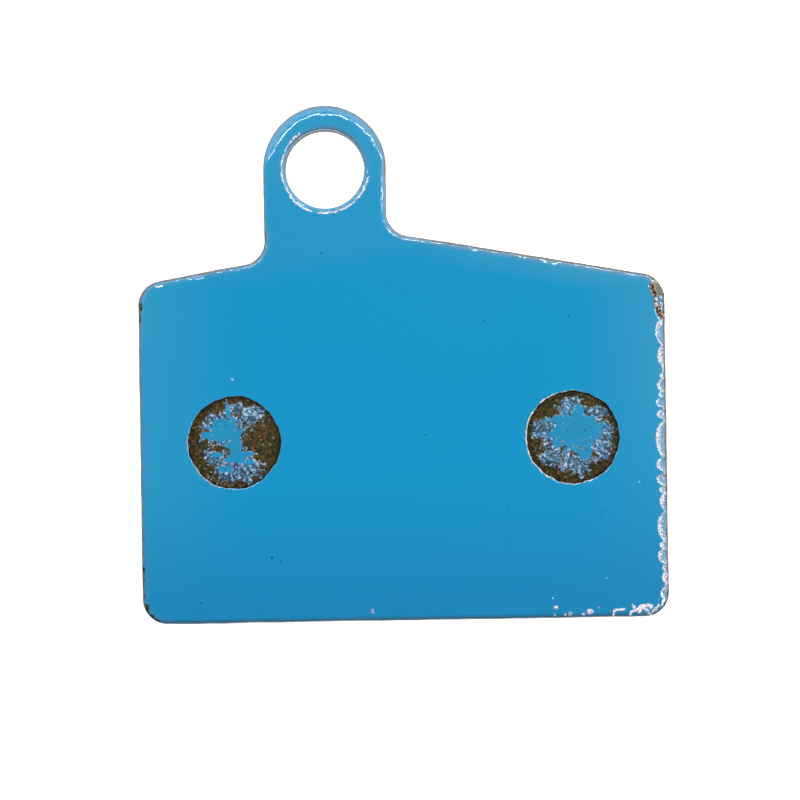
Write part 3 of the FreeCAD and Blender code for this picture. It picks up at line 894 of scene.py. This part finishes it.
def dull_share(recipe, rim, wall):
    """Dull places on the rolled edges of the tab and the shoulders, which break up their glints."""
    x, y, _ = recipe.axes()
    inner = recipe.minus(rim, recipe.span(y, 11 * MM, 12.5 * MM, 0.36 * MM, 0.52 * MM))
    outer = recipe.plus(
        recipe.span(y, 11.5 * MM, 12.5 * MM, 0.0, 0.12 * MM),
        recipe.span(y, 15.6 * MM, 17 * MM, 0.0, 0.2 * MM),
    )
    lit = recipe.most(
        recipe.span(x, -6 * MM, -5 * MM), recipe.span(y, 15.2 * MM, 15.8 * MM),
        recipe.span(y, 10.5 * MM, 10 * MM),
    )
    return recipe.times(
        recipe.span(recipe.noise(0.32 * MM, detail=2.0), 0.49, 0.54),
        recipe.span(y, 6.5 * MM, 7.5 * MM),
        recipe.span(inner, 0.03 * MM, -0.03 * MM),
        recipe.span(recipe.minus(rim, outer), 0.0, 0.06 * MM),
        lit, recipe.blend(wall, 1.0, 0.0),
    )


def coat_material(looks):
    """Glossy powder coat that drifts from deep blue to a paler, painted reflection of the soft light, with
    painted shade and glints near its edges, and worn through to steel in places.
    """
    recipe = Recipe(bpy.data.materials.new("blue_powder_coat"))
    _, _, z = recipe.axes()
    rim, glint_paint, bare = (recipe.attribute(name) for name in ("rim", "glint_paint", "bare"))
    clouds = recipe.noise(9 * MM, detail=1.0)
    grain = recipe.noise(0.1 * MM, detail=2.0, roughness=0.6)
    streaks = recipe.noise(0.2 * MM, detail=3.0, roughness=0.6, place=recipe.upright(0.1))
    blotches = recipe.noise(0.5 * MM, detail=3.0)
    ragged = recipe.noise(0.12 * MM, detail=3.0)
    spots = recipe.noise(0.15 * MM, detail=2.0, roughness=0.6)
    rubbed = recipe.span(z, below(0.95), below(0.65))
    wall = wall_share(recipe, rim, blotches)
    worn = recipe.span(recipe.plus(bare, recipe.span(ragged, 0.2, 0.8, -0.25, 0.25)), 0.4, 0.6)
    crazed, glint_tint = crazed_coat_glints(recipe, looks, grain, glint_paint)

    blue = edge_dust_and_shade(recipe, looks, rim, blue_coat(recipe, looks, clouds))
    tint = recipe.mix(wall, blue, wall_steel(recipe, looks, streaks, blotches, rubbed))
    tint = recipe.mix(recipe.span(bare, 0.0, 0.45, 0.0, 0.6), tint, looks.moss)
    tint = recipe.mix(worn, tint, stripped_steel(recipe, looks, spots))
    # Painted glints where the coat is crazed.
    tint = recipe.mix(recipe.times(crazed, recipe.blend(wall, 1.0, 0.3)), tint, glint_tint)

    dull = recipe.most(dull_share(recipe, rim, wall), recipe.span(bare, 0.0, 0.2))
    rough = recipe.span(clouds, 0.0, 1.0, 0.07, 0.1)
    rough = recipe.blend(wall, rough, recipe.blend(rubbed, 0.7, 0.45))
    rough = recipe.blend(recipe.times(crazed, 0.8), rough, 0.35)
    rough = recipe.blend(worn, rough, 0.6)

    # Orange peel, the grit of the crazed coat, streaks down the walls, and the pits of bare steel.
    height = recipe.plus(
        recipe.times(recipe.noise(0.5 * MM, detail=2.0), 0.15),
        recipe.times(grain, recipe.span(glint_paint, 0.05, 0.5)),
        recipe.times(streaks, recipe.blend(rubbed, wall, 0.0), 4.0),
        recipe.times(worn, spots, 3.0),
    )
    recipe.surface(
        Base_Color=tint, Roughness=rough, Specular_IOR_Level=recipe.blend(dull, 1.0, 0.12),
        Normal=recipe.bump(height, 0.006 * MM),
    )
    return recipe.block


class BRAKEPAD_OT_add_friction_pad(Operator):
    """Add the moulded friction block with the plugs that key it into the plate"""

    bl_idname = "brakepad.add_friction_pad"
    bl_label = "Friction pad"

    def execute(self, context):
        looks = context.scene.brakepad_friction
        plate = context.scene.brakepad_plate
        bm = bmesh.new()
        for name in PLUG_LAYERS:
            bm.verts.layers.float.new(name)
        self.add_block(bm, looks, plate)
        for side in (-1, 1):
            self.add_plug(bm, looks, plate, side)
        rims = [e for e in bm.edges if e.is_boundary]
        bmesh.ops.triangle_fill(bm, use_beauty=True, edges=rims, normal=(0, 0, 1))
        bmesh.ops.recalc_face_normals(bm, faces=bm.faces[:])
        finish_piece(bm, "friction_block", "friction_pad", compound_material(looks))
        return {"FINISHED"}

    def add_block(self, bm, looks, plate):
        """The block in front of the plate: rough pressed sides that lean in, and a ground rubbing face."""
        half, low = PAD_HIGH.x, PAD_LOW.y
        fall = math.tan(plate.shoulder_angle)
        lean = 1 / math.cos(plate.shoulder_angle)
        shoulder = PLATE_LOW.y + plate.side_height + looks.margin * (fall - lean)
        slant = math.tan(math.radians(45) - plate.shoulder_angle / 2)
        corner = looks.corner_radius
        corners = (
            (-half, low, corner), (half, low, corner), (half, shoulder, corner * slant),
            (0.0, shoulder + half * fall, looks.peak_radius * fall), (-half, shoulder, corner * slant),
        )
        top = PLATE_LOW.z
        face = add_outline(bm, corners, top, BLOCK_STEP)
        bmesh.ops.reverse_faces(bm, faces=[face])
        side_rings, edge_rings = 10, 3
        sides = (top - looks.rubbing_edge) / side_rings
        for _ in range(side_rings):
            bmesh.ops.inset_region(
                bm, faces=[face], thickness=looks.draft / side_rings, depth=sides, use_even_offset=True,
                use_boundary=True,
            )
        cut = looks.rubbing_edge / edge_rings
        for _ in range(edge_rings):
            bmesh.ops.inset_region(bm, faces=[face], thickness=cut, depth=cut, use_even_offset=True)
        ground = set(face.verts)
        bm.normal_update()
        for vert in bm.verts:
            if vert not in ground and vert.co.z < top - 0.05 * MM:
                rough = noise.fractal(vert.co / (0.45 * MM), 0.8, 2.0, 3)
                vert.co -= vert.normal * (0.02 + 0.03 * abs(rough)) * MM

    def add_plug(self, bm, looks, plate, side):
        """One plug, with a grainy crown that the coat has partly reached."""
        centre = Vector((side * plate.key_across, 0))
        radius = plate.key_radius - looks.plug_gap
        crown = PAD_HIGH.z
        inner = radius - looks.plug_rim
        foot = crown - looks.rim_drop
        flat, slope, wall = (shares(count) for count in PLUG_RINGS)
        rim, drop = looks.plug_rim, looks.rim_drop
        profile = [(inner * share, crown) for share in [0.0] + flat]
        profile += [(inner + rim * share, crown - drop * share) for share in slope]
        profile += [(radius, foot + (PLATE_LOW.z - foot) * share) for share in wall]
        part = bmesh.new()
        film, coat, strand = (part.verts.layers.float.new(name) for name in PLUG_LAYERS)
        spin_profile(part, centre, profile, PLUG_STEPS)
        bmesh.ops.remove_doubles(part, verts=part.verts[:], dist=TINY)
        for vert in part.verts:
            offset = (vert.co.xy - centre) / MM
            if vert.co.z < foot - TINY:
                continue
            spot = vert.co / MM
            ragged = noise.fractal(spot * 2.6, 0.9, 2.0, 4)
            smooth_film = cover(*offset, FILM[side]) + 0.46 * ragged + 0.2 * noise.noise(spot * 7.5)
            torn_film = max(smooth_film + 0.5, cover(*offset, TORN[side]) + 0.35 * ragged)
            torn_film = min(torn_film, 0.35 * ragged - cover(*offset, GAPS[side]))
            out = offset.normalized() * 9
            run = noise.noise(Vector((out.x, out.y, 1.5 * offset.length + 7 * side)))
            run += 0.6 * noise.noise(Vector((2.2 * out.x, 2.2 * out.y, 2.5 * offset.length)))
            tatters = 0.4 * noise.noise(spot * 3.6) + 0.25 * noise.noise(spot * 8.0) + 0.3 * run
            vert[strand] = 0.5 + 0.5 * run
            calm = smooth(-0.03, 0.1, smooth_film)
            torn = smooth(-0.4, 0.4, 1.1 * torn_film - 0.15 + tatters)
            vert[film] = smooth_film
            vert[coat] = max(calm, torn)
            grains = noise.voronoi(spot / (looks.grain / MM))[0]
            grit = 0.05 * (0.5 - grains[0]) + 0.03 * noise.noise(spot * 7.0)
            flakes = 0.03 + 0.03 * noise.noise(spot * 4.5)
            film_level = 0.03 + 0.006 * noise.noise(spot * 1.2)
            height = grit + (flakes - grit) * torn
            height += (film_level - height) * calm
            edge = 1 - smooth(radius / MM - 0.12, radius / MM - 0.02, offset.length)
            vert.co.z += height * edge * MM
        join(bm, part)


def pressed_mix(recipe, looks, middle, lot):
    """The friction mix: brown and olive with dark pits, light mineral grains and brass specks."""
    patches = recipe.span(recipe.noise(0.5 * MM, detail=2.0, roughness=0.6), 0.42, 0.58)
    pits = recipe.span(recipe.noise(0.18 * MM, detail=3.0, roughness=0.65), 0.36, 0.58)
    tint = recipe.mix(pits, looks.dark, recipe.mix(patches, looks.olive, looks.brown))
    grains = recipe.times(recipe.span(lot, 0.84, 0.88), recipe.span(middle, 0.5, 0.3))
    small, small_lot = recipe.cells(0.5 * looks.grain)
    specks = recipe.times(recipe.span(small_lot, 0.95, 0.97), recipe.span(small, 0.5, 0.3))
    return recipe.mix(specks, recipe.mix(grains, tint, looks.tan), looks.brass)


def torn_coat(recipe, looks, film, fine):
    """The coat on the plugs: smooth film with small flecks, and torn flakes round it."""
    flakes = recipe.noise(0.15 * MM, detail=3.0, roughness=0.6)
    # The flakes run from painted shade in their hollows to painted glints.
    flakes = recipe.ramp(
        recipe.blend(0.78, recipe.attribute("strand"), flakes),
        (0.42, looks.shade), (0.51, looks.deep), (0.57, looks.haze), (0.65, looks.glint),
    )
    skin = recipe.mix(film, flakes, looks.film)
    fleck, fleck_lot = recipe.cells(0.26 * MM)
    fleck = recipe.span(recipe.plus(fleck, recipe.span(fine, 0.3, 0.7, -0.15, 0.15)), 0.3, 0.16)
    dark = recipe.times(recipe.span(fleck_lot, 0.86, 0.88), fleck, film)
    light = recipe.times(recipe.span(fleck_lot, 0.1, 0.08), fleck, film, 0.8)
    return recipe.mix(light, recipe.mix(dark, skin, looks.deep), looks.haze)


def compound_material(looks):
    """Pressed friction compound, with torn blue coat on its two plugs."""
    recipe = Recipe(bpy.data.materials.new("friction_compound"))
    middle, lot = recipe.cells(looks.grain)
    fine = recipe.noise(0.1 * MM, detail=3.0, roughness=0.6)
    shake = recipe.span(fine, 0.25, 0.75, -0.5, 0.5)
    coat = recipe.attribute("coat")
    bits = recipe.plus(coat, recipe.times(shake, recipe.span(coat, 0.05, 0.3)))
    coated = recipe.span(bits, 0.4, 0.6)
    film = recipe.span(recipe.plus(recipe.attribute("film"), recipe.times(shake, 0.3)), -0.02, 0.05)
    off_film = recipe.blend(film, 1.0, 0.0)

    mix = pressed_mix(recipe, looks, middle, lot)
    tint = recipe.mix(coated, mix, torn_coat(recipe, looks, film, fine))
    # Painted glints on the frayed edges of the torn coat.
    frayed_glint = recipe.times(
        recipe.span(recipe.unsigned(recipe.minus(bits, 0.58)), 0.25, 0.08),
        recipe.span(recipe.noise(0.2 * MM), 0.48, 0.64, 0.0, 0.6), off_film,
    )
    tint = recipe.mix(frayed_glint, tint, looks.glint)

    rough = recipe.blend(coated, 0.7, recipe.blend(film, 0.4, 0.14))
    height = recipe.times(recipe.plus(recipe.times(middle, -0.5), fine), off_film)
    recipe.surface(
        Base_Color=tint, Roughness=rough, Specular_IOR_Level=0.25,
        Normal=recipe.bump(height, 0.02 * MM, 0.5),
    )
    return recipe.block


class BRAKEPAD_OT_add_stage(Operator):
    """Add the pale floor, the soft light and the camera that looks straight down on the pad"""

    bl_idname = "brakepad.add_stage"
    bl_label = "Stage"

    def execute(self, context):
        looks = context.scene.brakepad_stage
        self.add_floor(context)
        self.add_camera(context, looks)
        self.add_sky(context, looks)
        self.add_strips(context, looks)
        context.scene.view_settings.view_transform = "Standard"
        return {"FINISHED"}

    def add_floor(self, context):
        bm = bmesh.new()
        bmesh.ops.create_grid(bm, x_segments=1, y_segments=1, size=2.0)
        mesh = bpy.data.meshes.new("floor")
        bm.to_mesh(mesh)
        bm.free()
        recipe = Recipe(bpy.data.materials.new("pale_floor"))
        recipe.surface(
            Base_Color=(0.92, 0.92, 0.92), Roughness=0.9, Specular_IOR_Level=0.0,
            Emission_Color=(1.0, 1.0, 1.0), Emission_Strength=0.8,
        )
        # Seen from below it lets the view through, so that the rubbing face can be looked at.
        under = recipe.node("ShaderNodeMixShader")
        recipe.put(under.inputs[0], recipe.node("ShaderNodeNewGeometry").outputs["Backfacing"])
        recipe.put(under.inputs[1], recipe.shader.outputs[0])
        recipe.put(under.inputs[2], recipe.node("ShaderNodeBsdfTransparent").outputs[0])
        recipe.put(recipe.tree.nodes["Material Output"].inputs["Surface"], under.outputs[0])
        mesh.materials.append(recipe.block)
        floor = bpy.data.objects.new("floor", mesh)
        floor.location.z = CAD_BOX[0].z - 0.03 * MM
        context.scene.collection.objects.link(floor)

    def add_camera(self, context, looks):
        data = bpy.data.cameras.new("camera")
        data.sensor_width = 36.0
        data.lens = data.sensor_width * looks.distance / (looks.pixels * looks.pixel)
        data.clip_start, data.clip_end = 0.01, 10.0
        camera = bpy.data.objects.new("camera", data)
        turn = Matrix.Rotation(-looks.roll, 3, "Z")
        middle = turn @ Vector((-looks.origin_right, looks.origin_down, 0)) * looks.pixel
        camera.location = (middle.x, middle.y, PLATE_HIGH.z + looks.distance)
        camera.rotation_euler = (0, 0, -looks.roll)
        context.scene.collection.objects.link(camera)
        context.scene.camera = camera

    def add_sky(self, context, looks):
        """Soft light from the top and the right, dark overhead where the camera stands and dim in front."""
        recipe = Recipe(bpy.data.worlds.new("studio"), "Background", "Generated")
        x, y, z = recipe.axes()
        side = recipe.plus(recipe.times(x, 0.35), recipe.times(y, 0.94))
        light = recipe.most(recipe.span(side, -0.35, 0.25, 0.15, 1.0), recipe.span(z, 0.3, 0.1))
        light = recipe.times(light, recipe.span(z, 0.9, 0.98, 1.0, 0.02))
        recipe.surface(Color=recipe.mix(light, (0.0, 0.0, 0.0), (1.0, 1.0, 1.0)), Strength=looks.sky)
        context.scene.world = recipe.block

    def add_strips(self, context, looks):
        """Two narrow lights, past the top and the right of the pad, that draw glints along its edges."""
        for name, place, size_x, size_y in (
            ("strip_top", (-0.003, 0.075, 0.27), 0.146, 0.016),
            ("strip_right", (0.075, 0.005, 0.27), 0.14, 0.016),
        ):
            data = bpy.data.lights.new(name, "AREA")
            data.shape = "RECTANGLE"
            data.size, data.size_y = size_x, size_y
            data.energy = looks.strip * math.pi * size_x * size_y
            light = bpy.data.objects.new(name, data)
            light.location = place
            light.rotation_euler = (-Vector(place)).to_track_quat("-Z", "Y").to_euler()
            context.scene.collection.objects.link(light)


class BRAKEPAD_PT_panel(Panel):
    """The pad's pieces and their settings"""

    bl_label = "Brake Pad"
    bl_idname = "BRAKEPAD_PT_panel"
    bl_space_type = "VIEW_3D"
    bl_region_type = "UI"
    bl_category = "Brake Pad"

    def draw(self, context):
        for operator, settings in STEPS:
            box = self.layout.box()
            box.operator(operator.bl_idname)
            looks = getattr(context.scene, settings)
            for name in looks.__annotations__:
                box.prop(looks, name)


STEPS = (
    (BRAKEPAD_OT_add_plate, "brakepad_plate"),
    (BRAKEPAD_OT_add_friction_pad, "brakepad_friction"),
    (BRAKEPAD_OT_add_stage, "brakepad_stage"),
)
GROUPS = {"brakepad_plate": PlateLooks, "brakepad_friction": FrictionLooks, "brakepad_stage": StageLooks}


def register():
    for name, group in GROUPS.items():
        bpy.utils.register_class(group)
        setattr(bpy.types.Scene, name, PointerProperty(type=group))
    for operator, _ in STEPS:
        bpy.utils.register_class(operator)
    bpy.utils.register_class(BRAKEPAD_PT_panel)


def unregister():
    bpy.utils.unregister_class(BRAKEPAD_PT_panel)
    for operator, _ in STEPS:
        bpy.utils.unregister_class(operator)
    for name, group in GROUPS.items():
        delattr(bpy.types.Scene, name)
        bpy.utils.unregister_class(group)


def main():
    register()
    bpy.ops.brakepad.add_plate()
    bpy.ops.brakepad.add_friction_pad()
    bpy.ops.brakepad.add_stage()


if __name__ == "__main__":
    main()
